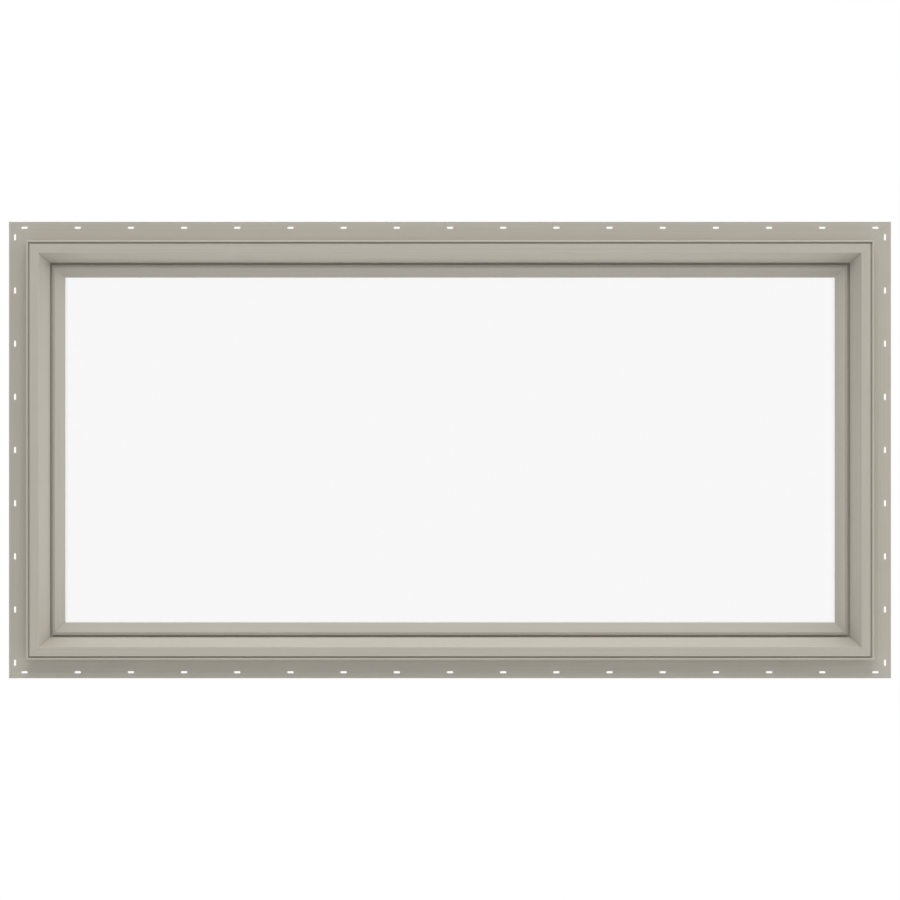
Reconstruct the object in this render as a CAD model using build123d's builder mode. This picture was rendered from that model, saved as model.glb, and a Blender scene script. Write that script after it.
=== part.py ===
from build123d import *
import math
import os

# Fixed picture window for new construction: four mitred, hollow vinyl frame members with a nail fin
# all round, a double glazed unit on setting blocks, and snap-in glazing beads on the outside.
# X runs to the right seen from outdoors, Y runs into the building and Z is up. The origin is on the
# back of the nail fin of the sill, halfway along it and halfway across it.
# Sections are drawn with u inward from the outer side of the frame and v back from its front face.

# Whole frame
frame_width = 1206.5
frame_height = 596.9
outer_wall = 2.0
inner_web = 1.4
saw_allowance = 5.0

# Nail fin
fin_setback = 34.925
fin_projection = 28.575
fin_thickness = 1.8
fin_tip_round = 0.6
slot_length = 9.1
slot_width = 3.1
slot_pitch = 76.2
slot_line = 19.975
slot_corner_margin = 8.0

# Accessory grooves along the front and back edges of the frame
lip_thickness = 2.7
groove_width = 2.2
groove_depth = 4.0

# Front face and the steep bevel down to the glazing
face_width = 12.85
bevel_width = 12.45
bevel_depth = 33.0
mid_web_setback = 19.0
edge_round = 0.7

# Insulating glass unit
lite_thickness = 3.0
air_space = 13.0
glass_bite = 14.3
glass_arris = 0.4
seal_depth = 3.0
spacer_height = 7.0
spacer_shoulder = 2.0
spacer_wall = 0.5
sealant_film = 0.2
key_arm_length = 25.0
key_clearance = 0.15

# Glazing bead and its snap leg
bead_height = 20.6
bead_gap = 3.0
bead_drop = 1.0
bead_depth = 11.0
nose_width = 4.15
nose_fall = 1.2
nose_round = 0.8
bead_edge = 1.5
bead_wall = 1.3
bead_heel = 5.0
snap_leg = 2.0
snap_reach = 3.6
barb_height = 0.9
barb_reach = 1.2
snap_clearance = 0.2
gasket_thickness = 1.0
gasket_width = 5.5
gasket_inset = 0.8

# Inside stop behind the glass
tape_thickness = 1.6
tape_width = 9.5
tape_inset = 0.6
stop_drop = 3.2
stop_nose = 4.0
stop_depth = 15.95
inside_slope = 14.6
inside_round = 1.5

# Blocks that carry and centre the glass
block_length = 100.0
side_block_play = 0.3

# Drainage through the sill
weep_length = 25.0
weep_width = 5.0
pocket_weep_offset = 430.0
web_weep_offset = 455.0
underside_weep_offset = 480.0
pocket_weep_inset = 9.0
underside_weep_inset = 7.6

# Places that follow from the sizes above
front_y = -fin_setback
fin_front = fin_setback - fin_thickness
window_centre = Vector(0, front_y, fin_projection / 2 + frame_height / 2)
groove_inner = lip_thickness + groove_width
face_inner = groove_inner + face_width
pocket_floor = face_inner + bevel_width
bead_outer = pocket_floor + bead_gap
bead_setback = bevel_depth + bead_drop
bead_back = bead_setback + bead_depth
sight_width = pocket_floor + bead_height
glass_setback = bead_back + gasket_thickness
glass_edge_inset = sight_width - glass_bite
glass_back = glass_setback + 2 * lite_thickness + air_space
stop_front = glass_back + tape_thickness
stop_sight = sight_width - stop_drop
frame_depth = stop_front + stop_depth
heel_front = bead_back - bead_heel
snap_front = bead_back - snap_leg
snap_mouth_front = snap_front - snap_clearance
snap_mouth_back = snap_front + snap_leg + snap_clearance
snap_room_front = snap_front - barb_height - snap_clearance
snap_room_floor = pocket_floor - outer_wall - snap_reach - snap_clearance
barb_top = pocket_floor - outer_wall - snap_clearance
leg_tip = pocket_floor - outer_wall - snap_reach
spacer_back = glass_edge_inset + seal_depth
spacer_depth = air_space - 2 * sealant_film
spacer_front = glass_setback + lite_thickness + sealant_film
glass_width = frame_width - 2 * glass_edge_inset
glass_height = frame_height - 2 * glass_edge_inset

# Each side's direction towards the middle of the window
inward_of = {
    "head": Vector(0, 0, -1),
    "sill": Vector(0, 0, 1),
    "jamb_left": Vector(1, 0, 0),
    "jamb_right": Vector(-1, 0, 0),
}


# How far the middle of the window is from this side's outer face
def half_across(side):
    return frame_height / 2 if side in ("head", "sill") else frame_width / 2


# Half the length of this side, measured along its outer face
def half_along(side):
    return frame_width / 2 if side in ("head", "sill") else frame_height / 2


# The direction along this side
def run_of(side):
    return inward_of[side].cross(Vector(0, 1, 0))


# The plane of a section across this side at mid length: its x is u and its y is v
def section_plane(side):
    middle = window_centre - inward_of[side] * half_across(side)
    return Plane(origin=middle, x_dir=inward_of[side], z_dir=run_of(side))


# The two mitre planes at the ends of this side, facing away from it
def mitre_planes(side):
    middle = section_plane(side).origin
    ends = (run_of(side), run_of(side) * -1)
    return [Plane(origin=middle + end * half_along(side), z_dir=end + inward_of[side]) for end in ends]


# A plane parallel to the glass, at the depth v behind the front face
def glass_plane(v):
    return Plane(origin=window_centre + Vector(0, v, 0), x_dir=(1, 0, 0), z_dir=(0, 1, 0))


# The u of the inner side of a sloping wall that runs from start to end, at the depth v
def inside_of_slope(start, end, v):
    rise = (end[1] - start[1]) / math.dist(start, end)
    on_slope = start[0] + (end[0] - start[0]) * (v - start[1]) / (end[1] - start[1])
    return on_slope - outer_wall / abs(rise)


# The u of the inner side of the front skin at the depth v, down the bevel and along the glazing pocket
def inside_of_skin(v):
    return min(inside_of_slope(bevel_start, bevel_end, v), pocket_floor - outer_wall)


# The depth v of the inner side of a sloping wall that runs from start to end, at u
def depth_inside_slope(start, end, u):
    slope = (end[1] - start[1]) / (end[0] - start[0])
    shift = inside_of_slope(start, end, start[1]) - start[0]
    return start[1] + (u - start[0] - shift) * slope


# The frame's section: fin, grooves, bevel, glazing pocket, bead catch and inside stop
bevel_start = (face_inner, 0)
bevel_end = (pocket_floor, bevel_depth)
inside_start = (stop_sight, stop_front + stop_nose)
inside_end = (stop_sight - inside_slope, frame_depth)
frame_outline = [
    (0, 0),
    (lip_thickness, 0),
    (lip_thickness, groove_depth),
    (groove_inner, groove_depth),
    (groove_inner, 0),
    bevel_start,
    bevel_end,
    (pocket_floor, snap_mouth_front),
    (pocket_floor - outer_wall, snap_mouth_front),
    (pocket_floor - outer_wall, snap_room_front),
    (snap_room_floor, snap_room_front),
    (snap_room_floor, snap_mouth_back),
    (pocket_floor, snap_mouth_back),
    (pocket_floor, stop_front),
    (stop_sight, stop_front),
    inside_start,
    inside_end,
    (groove_inner, frame_depth),
    (groove_inner, frame_depth - groove_depth),
    (lip_thickness, frame_depth - groove_depth),
    (lip_thickness, frame_depth),
    (0, frame_depth),
    (0, fin_setback),
    (-fin_projection, fin_setback),
    (-fin_projection, fin_front),
    (0, fin_front),
]
groove_box = groove_inner + outer_wall
front_wall = outer_wall
back_wall = frame_depth - outer_wall
floor_wall = pocket_floor - outer_wall
stop_wall = stop_front + outer_wall
mid_web_back = mid_web_setback + inner_web
catch_front = snap_room_front - inner_web
catch_floor = snap_room_floor - inner_web
rear_chamber = snap_mouth_back + inner_web
frame_chambers = [
    [
        (outer_wall, groove_depth + outer_wall),
        (groove_box, groove_depth + outer_wall),
        (groove_box, front_wall),
        (inside_of_skin(front_wall), front_wall),
        (inside_of_skin(mid_web_setback), mid_web_setback),
        (outer_wall, mid_web_setback),
    ],
    [
        (outer_wall, mid_web_back),
        (inside_of_skin(mid_web_back), mid_web_back),
        (inside_of_skin(fin_front), fin_front),
        (outer_wall, fin_front),
    ],
    [
        (outer_wall, fin_setback),
        (inside_of_skin(fin_setback), fin_setback),
        (inside_of_skin(catch_front), catch_front),
        (catch_floor, catch_front),
        (catch_floor, snap_mouth_back),
        (outer_wall, snap_mouth_back),
    ],
    [
        (outer_wall, rear_chamber),
        (floor_wall, rear_chamber),
        (floor_wall, stop_front),
        (outer_wall, stop_front),
    ],
    [
        (outer_wall, stop_wall),
        (stop_sight - outer_wall, stop_wall),
        (stop_sight - outer_wall, depth_inside_slope(inside_start, inside_end, stop_sight - outer_wall)),
        (inside_of_slope(inside_start, inside_end, back_wall), back_wall),
        (groove_box, back_wall),
        (groove_box, frame_depth - groove_depth - outer_wall),
        (outer_wall, frame_depth - groove_depth - outer_wall),
    ],
]
rounded_corners = [
    ((0, 0), edge_round),
    ((lip_thickness, 0), edge_round),
    ((groove_inner, 0), edge_round),
    (bevel_start, edge_round),
    (bevel_end, edge_round),
    ((stop_sight, stop_front), edge_round),
    (inside_start, inside_round),
    (inside_end, inside_round),
    ((-fin_projection, fin_front), fin_tip_round),
]
with BuildSketch() as frame_section:
    with BuildLine():
        Polyline(*frame_outline, close=True)
    make_face()
    for corner, radius in rounded_corners:
        fillet(vertices().sort_by_distance(corner)[0], radius=radius)
    for chamber in frame_chambers:
        Polygon(*chamber, align=None, mode=Mode.SUBTRACT)

# The bead's section: nose, sloping face, hollow body, heel and barbed snap leg
nose_side = (bead_outer, bead_setback + nose_fall)
with BuildSketch() as bead_section:
    with BuildLine():
        Polyline(
            nose_side,
            (bead_outer + nose_width, bead_setback),
            (sight_width, bead_back - bead_edge),
            (sight_width, bead_back),
            (bead_outer, bead_back),
            close=True,
        )
    make_face()
    offset(amount=-bead_wall, kind=Kind.INTERSECTION, mode=Mode.SUBTRACT)
    fillet(vertices().sort_by_distance(nose_side)[0], radius=nose_round)
    Polygon(
        (pocket_floor, heel_front),
        (bead_outer + bead_wall, heel_front),
        (bead_outer + bead_wall, bead_back),
        (pocket_floor, bead_back),
        align=None,
    )
    Polygon(
        (pocket_floor, snap_front),
        (pocket_floor, snap_front + snap_leg),
        (leg_tip, snap_front + snap_leg),
        (leg_tip, snap_front),
        (barb_top - barb_reach, snap_front - barb_height),
        (barb_top, snap_front - barb_height),
        (barb_top, snap_front),
        align=None,
    )

# The soft gasket between bead and glass, with a rounded edge towards the daylight
gasket_inner = sight_width - gasket_inset
with BuildSketch() as gasket_section:
    Polygon(
        (gasket_inner - gasket_width, bead_back),
        (gasket_inner, bead_back),
        (gasket_inner, glass_setback),
        (gasket_inner - gasket_width, glass_setback),
        align=None,
    )
    fillet(vertices().sort_by_distance((gasket_inner, bead_back))[0], radius=gasket_thickness / 2)

# The spacer bar's section: a thin-walled tube with its two outer shoulders cut back
with BuildSketch() as spacer_section:
    Polygon(
        (spacer_back, spacer_front + spacer_shoulder),
        (spacer_back + spacer_shoulder, spacer_front),
        (spacer_back + spacer_height, spacer_front),
        (spacer_back + spacer_height, spacer_front + spacer_depth),
        (spacer_back + spacer_shoulder, spacer_front + spacer_depth),
        (spacer_back, spacer_front + spacer_depth - spacer_shoulder),
        align=None,
    )
    offset(amount=-spacer_wall, kind=Kind.INTERSECTION, mode=Mode.SUBTRACT)


# A length of extrusion along one side, cut to the mitres at both ends
def mitred_length(side, section):
    with BuildPart() as length:
        with BuildSketch(section_plane(side)):
            add(section.sketch)
        extrude(amount=half_along(side) + fin_projection + saw_allowance, both=True)
        for mitre in mitre_planes(side):
            split(bisect_by=mitre, keep=Keep.BOTTOM)
    return length.part


# A frame member, with the row of nailing slots through its fin and, in the sill, the weep slots
def frame_member(side):
    reach = half_along(side) + slot_line - slot_length / 2 - slot_corner_margin
    slot_count = 2 * math.floor(reach / slot_pitch) + 1
    fin_middle = section_plane(side).origin - inward_of[side] * slot_line + Vector(0, fin_setback, 0)
    with BuildPart() as member:
        add(mitred_length(side, frame_section))
        with BuildSketch(Plane(origin=fin_middle, x_dir=run_of(side), z_dir=(0, -1, 0))):
            with GridLocations(slot_pitch, 0, slot_count, 1):
                SlotOverall(slot_length, slot_width)
        extrude(amount=fin_thickness, mode=Mode.SUBTRACT)
        if side == "sill":
            underside = window_centre - Vector(0, 0, frame_height / 2)
            # from the glazing pocket down into the rear chamber
            pocket = underside + Vector(0, glass_setback + pocket_weep_inset, pocket_floor)
            with BuildSketch(Plane(origin=pocket, x_dir=(1, 0, 0), z_dir=(0, 0, -1))):
                with GridLocations(2 * pocket_weep_offset, 0, 2, 1):
                    Rectangle(weep_length, weep_width)
            extrude(amount=outer_wall, mode=Mode.SUBTRACT)
            # forward through the three webs at the bottom of the chambers
            web = underside + Vector(0, mid_web_setback, outer_wall + weep_width / 2)
            with BuildSketch(Plane(origin=web, x_dir=(1, 0, 0), z_dir=(0, 1, 0))):
                with GridLocations(2 * web_weep_offset, 0, 2, 1):
                    Rectangle(weep_length, weep_width)
            extrude(amount=rear_chamber - mid_web_setback, mode=Mode.SUBTRACT)
            # out through the underside, between the front lip and the fin
            outlet = underside + Vector(0, fin_front - underside_weep_inset, 0)
            with BuildSketch(Plane(origin=outlet, x_dir=(1, 0, 0), z_dir=(0, 0, 1))):
                with GridLocations(2 * underside_weep_offset, 0, 2, 1):
                    SlotOverall(weep_length, weep_width)
            extrude(amount=outer_wall, mode=Mode.SUBTRACT)
    member.part.label = f"frame_{side}"
    export_step(member.part, f"parts/frame_{side}.step")


# A glazing bead along one side
def glazing_bead(side):
    with BuildPart() as bead:
        add(mitred_length(side, bead_section))
    bead.part.label = f"glazing_bead_{side}"
    export_step(bead.part, f"parts/glazing_bead_{side}.step")


# The gasket under one bead
def bead_gasket(side):
    with BuildPart() as gasket:
        add(mitred_length(side, gasket_section))
    gasket.part.label = f"bead_gasket_{side}"
    export_step(gasket.part, f"parts/bead_gasket_{side}.step")


# Glazing tape on the inside stop: full lengths at head and sill, and the jambs cut between them
def glazing_tape(side):
    tape_outer = stop_sight - tape_inset - tape_width
    cut_back = tape_outer if side in ("head", "sill") else tape_outer + tape_width
    with BuildPart() as tape:
        with BuildSketch(section_plane(side)):
            Polygon(
                (tape_outer, glass_back),
                (tape_outer + tape_width, glass_back),
                (tape_outer + tape_width, stop_front),
                (tape_outer, stop_front),
                align=None,
            )
        extrude(amount=half_along(side) - cut_back, both=True)
    tape.part.label = f"glazing_tape_{side}"
    export_step(tape.part, f"parts/glazing_tape_{side}.step")


# One sheet of glass with its arrises taken off
def glass_lite(name, v):
    with BuildPart() as lite:
        with BuildSketch(glass_plane(v)):
            Rectangle(glass_width, glass_height)
        extrude(amount=lite_thickness)
        broad_faces = lite.faces().filter_by(Axis.Y)
        chamfer(broad_faces.edges(), length=glass_arris)
    lite.part.label = name
    export_step(lite.part, f"parts/{name}.step")


# One hollow spacer bar, cut square between the corner keys
def spacer_bar(side):
    with BuildPart() as spacer:
        with BuildSketch(section_plane(side)):
            add(spacer_section.sketch)
        extrude(amount=half_along(side) - spacer_back - spacer_height, both=True)
    spacer.part.label = f"spacer_{side}"
    export_step(spacer.part, f"parts/spacer_{side}.step")


# A corner key: a square block with an arm that plugs into each spacer bar
def spacer_key(name, x_side, z_side):
    corner_x = x_side * (frame_width / 2 - spacer_back - spacer_height / 2)
    corner_z = -z_side * (frame_height / 2 - spacer_back - spacer_height / 2)
    arm_play = spacer_wall + key_clearance
    arm_width = spacer_height - spacer_shoulder - 2 * arm_play
    arm_shift = spacer_height / 2 - arm_play - arm_width / 2
    arm_reach = key_arm_length + spacer_height / 2
    with BuildPart() as key:
        with BuildSketch(glass_plane(spacer_front)):
            with Locations((corner_x, corner_z)):
                Rectangle(spacer_height, spacer_height)
        extrude(amount=spacer_depth)
        with BuildSketch(glass_plane(spacer_front + arm_play)):
            with Locations((corner_x - x_side * arm_reach / 2, corner_z + z_side * arm_shift)):
                Rectangle(arm_reach, arm_width)
            with Locations((corner_x - x_side * arm_shift, corner_z + z_side * arm_reach / 2)):
                Rectangle(arm_width, arm_reach)
        extrude(amount=spacer_depth - 2 * arm_play)
    key.part.label = name
    export_step(key.part, f"parts/{name}.step")


# The secondary seal round the edge of the unit, between the two sheets
def edge_seal():
    with BuildPart() as seal:
        with BuildSketch(glass_plane(glass_setback + lite_thickness)):
            Rectangle(glass_width, glass_height)
            Rectangle(glass_width - 2 * seal_depth, glass_height - 2 * seal_depth, mode=Mode.SUBTRACT)
        extrude(amount=air_space)
    seal.part.label = "edge_seal"
    export_step(seal.part, "parts/edge_seal.step")


# A block in the glazing pocket under or beside the edge of the unit
def glazing_block(name, side, shift, play):
    middle = section_plane(side).origin + run_of(side) * shift
    with BuildPart() as block:
        with BuildSketch(Plane(origin=middle, x_dir=inward_of[side], z_dir=run_of(side))):
            Polygon(
                (pocket_floor, glass_setback),
                (glass_edge_inset - play, glass_setback),
                (glass_edge_inset - play, glass_back),
                (pocket_floor, glass_back),
                align=None,
            )
        extrude(amount=block_length / 2, both=True)
    block.part.label = name
    export_step(block.part, f"parts/{name}.step")


os.makedirs("parts", exist_ok=True)
for side_name in inward_of:
    frame_member(side_name)
    glazing_bead(side_name)
    bead_gasket(side_name)
    glazing_tape(side_name)
    spacer_bar(side_name)

glass_lite("glass_outer_lite", glass_setback)
glass_lite("glass_inner_lite", glass_setback + lite_thickness + air_space)
spacer_key("spacer_key_top_left", -1, 1)
spacer_key("spacer_key_top_right", 1, 1)
spacer_key("spacer_key_bottom_left", -1, -1)
spacer_key("spacer_key_bottom_right", 1, -1)
edge_seal()

# Two blocks carry the glass at its quarter points, and one at each jamb centres it
glazing_block("setting_block_left", "sill", glass_width / 4, 0)
glazing_block("setting_block_right", "sill", -glass_width / 4, 0)
glazing_block("side_block_left", "jamb_left", 0, side_block_play)
glazing_block("side_block_right", "jamb_right", 0, side_block_play)
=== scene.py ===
import math
import random

import bmesh
import bpy
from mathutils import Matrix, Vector


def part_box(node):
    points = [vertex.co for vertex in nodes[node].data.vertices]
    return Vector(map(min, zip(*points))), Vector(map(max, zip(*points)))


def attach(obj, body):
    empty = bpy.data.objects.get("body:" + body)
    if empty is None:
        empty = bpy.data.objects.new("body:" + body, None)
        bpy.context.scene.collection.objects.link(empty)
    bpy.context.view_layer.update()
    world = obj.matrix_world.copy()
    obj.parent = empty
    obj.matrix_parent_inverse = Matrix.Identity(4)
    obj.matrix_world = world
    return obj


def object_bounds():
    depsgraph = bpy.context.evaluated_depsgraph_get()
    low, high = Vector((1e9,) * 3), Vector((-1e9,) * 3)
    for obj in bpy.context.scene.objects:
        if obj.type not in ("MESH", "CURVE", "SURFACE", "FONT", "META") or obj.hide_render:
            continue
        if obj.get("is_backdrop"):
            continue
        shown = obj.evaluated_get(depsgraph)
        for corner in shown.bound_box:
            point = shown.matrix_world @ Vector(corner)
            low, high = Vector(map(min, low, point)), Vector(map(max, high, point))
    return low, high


# A fixed picture window seen square on from outdoors: greige vinyl frame with a nail fin, snap-in
# glazing beads and clear double glazing, hung in a white studio
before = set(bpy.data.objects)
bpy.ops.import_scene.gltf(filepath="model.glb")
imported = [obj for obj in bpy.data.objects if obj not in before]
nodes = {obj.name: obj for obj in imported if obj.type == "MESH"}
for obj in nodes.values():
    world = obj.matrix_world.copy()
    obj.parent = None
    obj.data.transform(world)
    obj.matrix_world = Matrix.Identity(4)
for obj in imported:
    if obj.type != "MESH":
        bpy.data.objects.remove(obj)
cadLow, cadHigh = (Vector(corner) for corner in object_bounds())
mm = 0.001
sides = ("head", "sill", "jamb_left", "jamb_right")
lyingSides = ("head", "sill")
middle = (cadLow + cadHigh) / 2
finHalfWide = (cadHigh.x - cadLow.x) / 2
finHalfHigh = (cadHigh.z - cadLow.z) / 2
noiseRange = {"From Min": 0.3, "From Max": 0.7}  # nearly all of a noise texture lies between these
fineDetail = 3.0  # layers of ever finer noise in clouds and grain
print("frame loaded:", len(nodes), "nodes")


# sRGB hex to the linear colour that shaders want
def colour(hexCode):
    channels = [int(hexCode[i:i + 2], 16) / 255 for i in (0, 2, 4)]
    linear = [c / 12.92 if c <= 0.04045 else ((c + 0.055) / 1.055) ** 2.4 for c in channels]
    return (*linear, 1.0)


# Adds one node, sets its properties and sockets and links its inputs
def addNode(tree, kind, settings=None, values=None, links=None):
    made = tree.nodes.new(kind)
    for name, value in (settings or {}).items():
        setattr(made, name, value)
    for socket, value in (values or {}).items():
        made.inputs[socket].default_value = value
    for socket, source in (links or {}).items():
        tree.links.new(source, made.inputs[socket])
    return made


# The emptied node tree of a new material or world
def emptyTree(owner):
    owner.use_nodes = True
    owner.node_tree.nodes.clear()
    return owner.node_tree


# A new material with its shader and output, and the place on the window that its patterns follow
def startMaterial(name, values):
    material = bpy.data.materials.new(name)
    tree = emptyTree(material)
    shader = addNode(tree, "ShaderNodeBsdfPrincipled", values=values)
    addNode(tree, "ShaderNodeOutputMaterial", links={"Surface": shader.outputs["BSDF"]})
    place = addNode(tree, "ShaderNodeTexCoord").outputs["Object"]
    return material, tree, shader, place


# Streaks that a die or rollers draw out along a piece
def drawnStreaks(tree, place, alongX, lengthMm, spacingMm):
    sizes = (lengthMm, spacingMm, spacingMm) if alongX else (spacingMm, spacingMm, lengthMm)
    stretched = addNode(tree, "ShaderNodeVectorMath", {"operation": "MULTIPLY"},
                        {1: [1 / (size * mm) for size in sizes]}, {0: place})
    streaks = addNode(tree, "ShaderNodeTexNoise", values={"Scale": 1.0},
                      links={"Vector": stretched.outputs[0]})
    return streaks.outputs["Fac"]


# 1 on the mitre lines at the four corners and 0 away from them
def mitreSeam(tree, place, halfWidthMm):
    parts = addNode(tree, "ShaderNodeSeparateXYZ", links={0: place})
    across = addNode(tree, "ShaderNodeMath", {"operation": "ABSOLUTE"}, links={0: parts.outputs["X"]})
    height = addNode(tree, "ShaderNodeMath", {"operation": "SUBTRACT"}, {1: middle.z},
                     {0: parts.outputs["Z"]})
    upDown = addNode(tree, "ShaderNodeMath", {"operation": "ABSOLUTE"}, links={0: height.outputs[0]})
    gap = addNode(tree, "ShaderNodeMath", {"operation": "SUBTRACT"},
                  links={0: across.outputs[0], 1: upDown.outputs[0]})
    offLine = addNode(tree, "ShaderNodeMath", {"operation": "SUBTRACT"}, {1: finHalfWide - finHalfHigh},
                      {0: gap.outputs[0]})
    away = addNode(tree, "ShaderNodeMath", {"operation": "ABSOLUTE"}, links={0: offLine.outputs[0]})
    # the line runs at 45 degrees: measured along X it is wider by the root of 2
    seam = addNode(tree, "ShaderNodeMapRange", {"interpolation_type": "SMOOTHSTEP"},
                   {"From Max": halfWidthMm * mm * math.sqrt(2), "To Min": 1.0, "To Max": 0.0},
                   {"Value": away.outputs[0]})
    return seam.outputs["Result"]


# Puts a material on a CAD node in place of the plain one
def give(nodeName, material):
    for materialSlot in nodes[nodeName].material_slots:
        materialSlot.material = material


# Frame and beads: rigid PVC, extruded with a greige cap, mitred, welded and trimmed
vinyl = {
    "frameColours": ("b4afa4", "b8b3a8"),
    # the beads' colours are a little darker than the frame's: painted shade of the recess the beads sit
    # deep in
    "beadColoursPaintedShade": ("b1aca2", "b4afa5"),
    "cloudMm": 90.0,
    "roughness": (0.45, 0.56),
    "ior": 1.54,
    "dieLineMm": 2.2,  # real die lines are about 0.5 mm apart: drawn coarser so that they show
    "dieLineLengthMm": 400.0,
    "dieLineShade": (0.965, 1.035),
    "dieLineReliefMm": 0.018,
    "peelMm": 2.5,  # orange peel is nearer 1 mm: coarser too
    "peelReliefMm": 0.02,
    "frameSeamMm": 0.35,
    "beadSeamMm": 0.2,
    "seamShade": 0.86,
    "seamReliefMm": 0.06,
}


# Extruded PVC: low satin gloss, die lines along the length and a barely mottled cap; the eye sees one
# even greige whose highlights break into fine streaks along each member
def extrudedPvc(name, alongX, colours, seamMm):
    material, tree, shader, place = startMaterial(name, {"IOR": vinyl["ior"]})
    dieLines = drawnStreaks(tree, place, alongX, vinyl["dieLineLengthMm"], vinyl["dieLineMm"])
    clouds = addNode(tree, "ShaderNodeTexNoise",
                     values={"Scale": 1 / (vinyl["cloudMm"] * mm), "Detail": fineDetail},
                     links={"Vector": place})
    peel = addNode(tree, "ShaderNodeTexNoise", values={"Scale": 1 / (vinyl["peelMm"] * mm)},
                   links={"Vector": place})
    seam = mitreSeam(tree, place, seamMm)
    # colour: faint clouds from the mixing of the cap resin, fainter streaks, and a darker weld line
    cloudy = addNode(tree, "ShaderNodeMix", {"data_type": "RGBA"},
                     {"A": colour(colours[0]), "B": colour(colours[1])},
                     {"Factor": clouds.outputs["Fac"]})
    dark, light = vinyl["dieLineShade"]
    streak = addNode(tree, "ShaderNodeMapRange", values={**noiseRange, "To Min": dark, "To Max": light},
                     links={"Value": dieLines})
    joint = addNode(tree, "ShaderNodeMapRange", values={"To Min": 1.0, "To Max": vinyl["seamShade"]},
                    links={"Value": seam})
    shade = addNode(tree, "ShaderNodeMath", {"operation": "MULTIPLY"},
                    links={0: streak.outputs["Result"], 1: joint.outputs["Result"]})
    tone = addNode(tree, "ShaderNodeVectorMath", {"operation": "SCALE"},
                   links={0: cloudy.outputs["Result"], "Scale": shade.outputs[0]})
    tree.links.new(tone.outputs[0], shader.inputs["Base Color"])
    smooth, rough = vinyl["roughness"]
    gloss = addNode(tree, "ShaderNodeMapRange", values={**noiseRange, "To Min": smooth, "To Max": rough},
                    links={"Value": dieLines})
    tree.links.new(gloss.outputs["Result"], shader.inputs["Roughness"])
    # relief: die lines, then peel, then the shallow groove of the trimmed weld
    dieRelief = addNode(tree, "ShaderNodeBump", values={"Distance": vinyl["dieLineReliefMm"] * mm},
                        links={"Height": dieLines})
    peelRelief = addNode(tree, "ShaderNodeBump", values={"Distance": vinyl["peelReliefMm"] * mm},
                         links={"Height": peel.outputs["Fac"], "Normal": dieRelief.outputs["Normal"]})
    weldRelief = addNode(tree, "ShaderNodeBump", {"invert": True},
                         {"Distance": vinyl["seamReliefMm"] * mm},
                         {"Height": seam, "Normal": peelRelief.outputs["Normal"]})
    tree.links.new(weldRelief.outputs["Normal"], shader.inputs["Normal"])
    return material


frameLook = (vinyl["frameColours"], vinyl["frameSeamMm"])
# the bead materials carry that painted shade of the recess in their darker colours
beadLookPaintedShade = (vinyl["beadColoursPaintedShade"], vinyl["beadSeamMm"])
frameLying = extrudedPvc("extruded_pvc_frame_across", True, *frameLook)
frameUpright = extrudedPvc("extruded_pvc_frame_upright", False, *frameLook)
beadLying = extrudedPvc("extruded_pvc_bead_across_painted_shade", True, *beadLookPaintedShade)
beadUpright = extrudedPvc("extruded_pvc_bead_upright_painted_shade", False, *beadLookPaintedShade)
for side in sides:
    give("frame_" + side, frameLying if side in lyingSides else frameUpright)
    give("glazing_bead_" + side, beadLying if side in lyingSides else beadUpright)
print("vinyl done")


# Glass: two sheets of clear float, 3 mm
glass = {
    "tint": "fbfbfb",
    "ior": 1.52,
    "waveMm": 300.0,
    "waveLengthMm": 2000.0,
    "waveReliefMm": 0.1,  # real waves are a few hundredths deep: deeper so that reflections show them
}


# Clear float glass, low in iron and toughened on rollers: seen only as a slight greying of what lies
# behind it, with reflections that bend a little in long level waves
def clearFloatGlass():
    material, tree, shader, place = startMaterial("clear_float_glass", {
        "Base Color": colour(glass["tint"]), "Roughness": 0.0, "IOR": glass["ior"],
        "Transmission Weight": 1.0})
    waves = drawnStreaks(tree, place, True, glass["waveLengthMm"], glass["waveMm"])
    relief = addNode(tree, "ShaderNodeBump", values={"Distance": glass["waveReliefMm"] * mm},
                     links={"Height": waves})
    tree.links.new(relief.outputs["Normal"], shader.inputs["Normal"])
    return material


floatGlass = clearFloatGlass()
for lite in ("glass_outer_lite", "glass_inner_lite"):
    give(lite, floatGlass)
    # light passes straight through the panes, so that they cast no dark shadow
    nodes[lite].visible_shadow = False
    nodes[lite].visible_diffuse = False
print("glass done")


grainShade = (0.9, 1.08)  # the darkest and the lightest grain, as shares of the colour


# A matt material with a fine grain: its colour varies a little, and its relief follows the grain
def grainyMatt(name, look):
    material, tree, shader, place = startMaterial(
        name, {"IOR": look["ior"], "Roughness": look["roughness"]})
    grain = addNode(tree, "ShaderNodeTexNoise",
                    values={"Scale": 1 / (look["grainMm"] * mm), "Detail": fineDetail},
                    links={"Vector": place})
    dark, light = grainShade
    level = addNode(tree, "ShaderNodeMapRange", values={**noiseRange, "To Min": dark, "To Max": light},
                    links={"Value": grain.outputs["Fac"]})
    tone = addNode(tree, "ShaderNodeVectorMath", {"operation": "SCALE"}, {0: colour(look["colour"])[:3]},
                   {"Scale": level.outputs["Result"]})
    tree.links.new(tone.outputs[0], shader.inputs["Base Color"])
    relief = addNode(tree, "ShaderNodeBump", values={"Distance": look["reliefMm"] * mm},
                     links={"Height": grain.outputs["Fac"]})
    tree.links.new(relief.outputs["Normal"], shader.inputs["Normal"])
    return material


# Bead gasket: soft PVC, extruded, in a darker tone of the bead; a dull thin edging of the glass
gasket = {"colour": "979288", "roughness": 0.55, "ior": 1.5, "grainMm": 0.8, "reliefMm": 0.006}

# Glazing tape: closed-cell polyethylene foam, cut square; charcoal, with tiny cells that kill all gloss
tape = {"colour": "3d3d3d", "roughness": 0.85, "ior": 1.5, "grainMm": 0.35, "reliefMm": 0.036}

# Spacer keys: nylon, injection moulded; cool grey with a faint sheen
cornerKey = {"colour": "9fa1a3", "roughness": 0.5, "ior": 1.53, "grainMm": 1.2, "reliefMm": 0.006}

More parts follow.
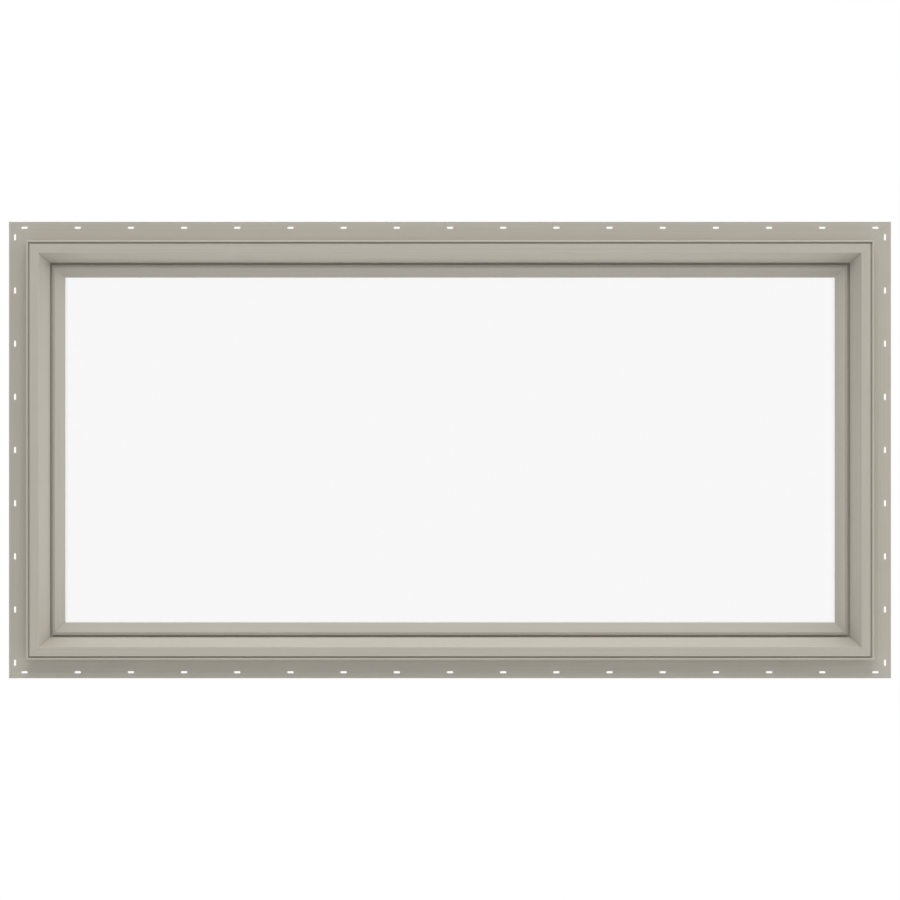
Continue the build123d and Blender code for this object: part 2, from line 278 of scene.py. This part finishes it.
# Edge seal: polysulphide, gunned in and struck off; near black, lumpy where the knife dragged
edgeSeal = {"colour": "2e2f30", "roughness": 0.6, "ior": 1.6, "grainMm": 2.5, "reliefMm": 0.048}

# Setting and side blocks: EPDM rubber, cut from strip; flat black-grey with a sawn grain
rubberBlock = {"colour": "383939", "roughness": 0.75, "ior": 1.5, "grainMm": 0.5, "reliefMm": 0.018}

softPvc = grainyMatt("soft_pvc_gasket", gasket)
foamTape = grainyMatt("closed_cell_foam_tape", tape)
mouldedNylon = grainyMatt("moulded_nylon_key", cornerKey)
polysulphide = grainyMatt("polysulphide_edge_seal", edgeSeal)
epdmRubber = grainyMatt("epdm_block", rubberBlock)
for side in sides:
    give("bead_gasket_" + side, softPvc)
    give("glazing_tape_" + side, foamTape)
for nodeName in nodes:
    if nodeName.startswith("spacer_key_"):
        give(nodeName, mouldedNylon)
    if nodeName.startswith(("setting_block_", "side_block_")):
        give(nodeName, epdmRubber)
give("edge_seal", polysulphide)
print("gaskets, tape, keys, blocks and edge seal done")


# Spacer bars between the panes
spacer = {
    "colour": "c9cacb",
    "roughness": (0.28, 0.48),
    "lineMm": 0.4,
    "lineLengthMm": 200.0,
    # the bores are painted near-black: painted shade of the holes, which are not modelled
    "borePaintedShade": "1c1c1c",
    "boreRadiusMm": 0.5,
    "borePitchMm": 3.0,
}


# Mill aluminium, roll-formed: bright soft metal with lines along the bar and a row of tiny bores that
# let the drying beads inside reach the air
def rolledAluminium(name, alongX):
    material, tree, shader, place = startMaterial(name, {"Metallic": 1.0})
    lines = drawnStreaks(tree, place, alongX, spacer["lineLengthMm"], spacer["lineMm"])
    smooth, rough = spacer["roughness"]
    gloss = addNode(tree, "ShaderNodeMapRange", values={"To Min": smooth, "To Max": rough},
                    links={"Value": lines})
    tree.links.new(gloss.outputs["Result"], shader.inputs["Roughness"])
    # bores: the distance to the nearest one, along the bar and off its middle line
    parts = addNode(tree, "ShaderNodeSeparateXYZ", links={0: place})
    along = addNode(tree, "ShaderNodeMath", {"operation": "PINGPONG"},
                    {1: spacer["borePitchMm"] * mm / 2}, {0: parts.outputs["X" if alongX else "Z"]})
    barMiddle = sum(corner.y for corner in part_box("spacer_head")) / 2
    offMiddle = addNode(tree, "ShaderNodeMath", {"operation": "SUBTRACT"}, {1: barMiddle},
                        {0: parts.outputs["Y"]})
    toBore = addNode(tree, "ShaderNodeCombineXYZ",
                     links={"X": along.outputs[0], "Y": offMiddle.outputs[0]})
    distance = addNode(tree, "ShaderNodeVectorMath", {"operation": "LENGTH"},
                       links={0: toBore.outputs[0]})
    solid = addNode(tree, "ShaderNodeMath", {"operation": "GREATER_THAN"},
                    {1: spacer["boreRadiusMm"] * mm}, {0: distance.outputs["Value"]})
    # the bores become near-black dots in the colour, as painted shade of the holes
    tone = addNode(tree, "ShaderNodeMix", {"data_type": "RGBA"},
                   {"A": colour(spacer["borePaintedShade"]), "B": colour(spacer["colour"])},
                   {"Factor": solid.outputs[0]})
    tree.links.new(tone.outputs["Result"], shader.inputs["Base Color"])
    return material


spacerLying = rolledAluminium("rolled_aluminium_across", True)
spacerUpright = rolledAluminium("rolled_aluminium_upright", False)
for side in sides:
    give("spacer_" + side, spacerLying if side in lyingSides else spacerUpright)
print("spacer done")


# Butyl: polyisobutylene pressed out between each pane and the spacer; a thin black line, a little wavy
butyl = {
    "colour": "17181a",
    "roughness": 0.45,
    "ior": 1.52,
    "grainMm": 1.5,
    "reliefMm": 0.018,
    "widthMm": 4.6,
    "waverMm": 0.35,  # how far the width strays at each step round the line
    "stepMm": 12.0,
    "seed": 7,
}


# Points round a rectangle about the middle of the window, a short step apart
def loopPoints(halfWide, halfHigh, stepMm):
    corners = [(-halfWide, -halfHigh), (halfWide, -halfHigh),
               (halfWide, halfHigh), (-halfWide, halfHigh)]
    points = []
    for start, end in zip(corners, corners[1:] + corners[:1]):
        count = max(2, round(math.dist(start, end) / (stepMm * mm)))
        for step in range(count):
            part = step / count
            points.append((start[0] + (end[0] - start[0]) * part, start[1] + (end[1] - start[1]) * part))
    return points


# A closed band of butyl between a pane and the spacer, as deep as the room between them
def butylLine(name, nearY, farY):
    halfHigh = middle.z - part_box("spacer_sill")[0].z
    halfWide = halfHigh + finHalfWide - finHalfHigh  # the spacer is as far from the fin on every side
    waver = random.Random(butyl["seed"])
    mesh = bmesh.new()
    rings = []
    for x, z in loopPoints(halfWide, halfHigh, butyl["stepMm"]):
        width = (butyl["widthMm"] + waver.uniform(-1, 1) * butyl["waverMm"]) * mm
        innerX = math.copysign(min(abs(x), halfWide - width), x)
        innerZ = math.copysign(min(abs(z), halfHigh - width), z)
        section = ((x, nearY, z), (innerX, nearY, innerZ), (innerX, farY, innerZ), (x, farY, z))
        rings.append([mesh.verts.new((a, b, c + middle.z)) for a, b, c in section])
    for ring, following in zip(rings, rings[1:] + rings[:1]):
        for k in range(len(ring)):
            after = (k + 1) % len(ring)
            mesh.faces.new((ring[k], ring[after], following[after], following[k]))
    bmesh.ops.recalc_face_normals(mesh, faces=mesh.faces)
    data = bpy.data.meshes.new(name)
    mesh.to_mesh(data)
    mesh.free()
    data.materials.append(polyisobutylene)
    line = bpy.data.objects.new(name, data)
    bpy.context.scene.collection.objects.link(line)
    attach(line, "root")


polyisobutylene = grainyMatt("polyisobutylene_line", butyl)
butylLine("butyl_line_outer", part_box("glass_outer_lite")[1].y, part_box("spacer_sill")[0].y)
butylLine("butyl_line_inner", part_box("spacer_sill")[1].y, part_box("glass_inner_lite")[0].y)
print("butyl lines done")


# Studio: white surroundings, a pale floor well below the hung window, and large soft lamps
studio = {
    "ambient": 0.51,  # strength of the surroundings as light
    "floorDrop": 0.8,  # metres, as is the size
    "floorSize": 7.0,
    "floorLevel": 0.79,  # how much light the floor sends back up to the window
    "floorShownLevel": 0.2,  # what part of its light and shadow is seen, on top of its white glow
    "floorGlow": (0.77, 0.83),  # in the middle and at the edge, where less lamplight falls
    # each lamp: place in metres, width and height in metres, power in watts
    "lamps": {
        "key_softbox": ((0.0, -3.8, 3.4), (2.0, 2.0), 71.0),
        "top_softbox": ((0.0, -1.2, 3.8), (3.4, 2.4), 13.0),
        "right_softbox": ((4.2, -1.2, 0.8), (2.4, 2.4), 33.0),
        "low_back_softbox": ((0.0, 0.8, -0.7), (2.4, 0.8), 11.7),
        "top_back_softbox": ((0.0, 0.85, 3.2), (2.6, 1.0), 58.0),
        "right_back_softbox": ((3.6, 0.75, 0.5), (1.4, 1.4), 38.0),
        "left_back_softbox": ((-3.6, 0.75, 0.5), (1.4, 1.4), 18.0),
    },
}


# 1 for the rays that show the background: from the camera, in gloss and through glass
def shownRay(tree):
    path = addNode(tree, "ShaderNodeLightPath")
    either = addNode(tree, "ShaderNodeMath", {"operation": "MAXIMUM"},
                     links={0: path.outputs["Is Camera Ray"], 1: path.outputs["Is Glossy Ray"]})
    shown = addNode(tree, "ShaderNodeMath", {"operation": "MAXIMUM"},
                    links={0: either.outputs[0], 1: path.outputs["Is Transmission Ray"]})
    return shown.outputs[0]


def whiteSurroundings():
    world = bpy.data.worlds.new("white_studio")
    tree = emptyTree(world)
    strength = addNode(tree, "ShaderNodeMapRange", values={"To Min": studio["ambient"], "To Max": 1.0},
                       links={"Value": shownRay(tree)})
    background = addNode(tree, "ShaderNodeBackground", values={"Color": colour("ffffff")},
                         links={"Strength": strength.outputs["Result"]})
    addNode(tree, "ShaderNodeOutputWorld", links={"Surface": background.outputs[0]})
    bpy.context.scene.world = world


# Matt white paint with a glow that only the eye sees, so that the floor keeps the window's shadow and
# still runs into the white surroundings at its edge
def paintedFloor():
    material = bpy.data.materials.new("matt_white_floor_paint")
    tree = emptyTree(material)
    shown = shownRay(tree)
    level = addNode(tree, "ShaderNodeMapRange",
                    values={"To Min": studio["floorLevel"], "To Max": studio["floorShownLevel"]},
                    links={"Value": shown})
    matt = addNode(tree, "ShaderNodeBsdfDiffuse", links={"Color": level.outputs["Result"]})
    place = addNode(tree, "ShaderNodeTexCoord").outputs["Object"]
    fromMiddle = addNode(tree, "ShaderNodeVectorMath", {"operation": "LENGTH"}, links={0: place})
    middleGlow, edgeGlow = studio["floorGlow"]
    toEdge = studio["floorSize"] / 2
    glowHere = addNode(tree, "ShaderNodeMapRange",
                       values={"From Max": toEdge, "To Min": middleGlow, "To Max": edgeGlow},
                       links={"Value": fromMiddle.outputs["Value"]})
    strength = addNode(tree, "ShaderNodeMath", {"operation": "MULTIPLY"},
                       links={0: glowHere.outputs["Result"], 1: shown})
    glow = addNode(tree, "ShaderNodeEmission", values={"Color": colour("ffffff")},
                   links={"Strength": strength.outputs[0]})
    both = addNode(tree, "ShaderNodeAddShader", links={0: matt.outputs[0], 1: glow.outputs[0]})
    # from below the floor can be seen through, so that it never hides the window
    underside = addNode(tree, "ShaderNodeNewGeometry").outputs["Backfacing"]
    clear = addNode(tree, "ShaderNodeBsdfTransparent")
    oneSided = addNode(tree, "ShaderNodeMixShader",
                       links={0: underside, 1: both.outputs[0], 2: clear.outputs[0]})
    addNode(tree, "ShaderNodeOutputMaterial", links={"Surface": oneSided.outputs[0]})
    return material


def paleFloor():
    half = studio["floorSize"] / 2
    corners = [(-half, -half, 0), (half, -half, 0), (half, half, 0), (-half, half, 0)]
    data = bpy.data.meshes.new("studio_floor")
    data.from_pydata(corners, [], [(0, 1, 2, 3)])
    data.materials.append(paintedFloor())
    floor = bpy.data.objects.new("studio_floor", data)
    floor.location.z = cadLow.z - studio["floorDrop"]
    bpy.context.scene.collection.objects.link(floor)
    floor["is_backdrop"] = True


# A soft lamp turned to the middle of the window; neither the picture nor a pane shows the lamp itself
def softLamp(name, place, size, power):
    data = bpy.data.lights.new(name, "AREA")
    data.shape = "RECTANGLE"
    data.size, data.size_y = size
    data.energy = power
    lamp = bpy.data.objects.new(name, data)
    lamp.location = place
    lamp.rotation_euler = (middle - Vector(place)).to_track_quat("-Z", "Y").to_euler()
    lamp.visible_camera = False
    lamp.visible_transmission = False
    lamp.visible_glossy = False
    bpy.context.scene.collection.objects.link(lamp)


whiteSurroundings()
paleFloor()
for lampName, (place, size, power) in studio["lamps"].items():
    softLamp(lampName, place, size, power)
print("studio done")


# Camera: square to the glass and level with its middle, as the picture was taken
shot = {
    "fromFront": 4.723,  # metres in front of the foremost face
    "lens": 132.8,  # millimetres, as is the sensor
    "sensor": 36.0,
}


def frontCamera():
    data = bpy.data.cameras.new("front_camera")
    data.lens = shot["lens"]
    data.sensor_width = shot["sensor"]
    camera = bpy.data.objects.new("front_camera", data)
    camera.location = (0, cadLow.y - shot["fromFront"], middle.z)
    camera.rotation_euler = (math.radians(90), 0, 0)
    bpy.context.scene.collection.objects.link(camera)
    bpy.context.scene.camera = camera


frontCamera()
bpy.context.scene.view_settings.view_transform = "Standard"
print("camera done")
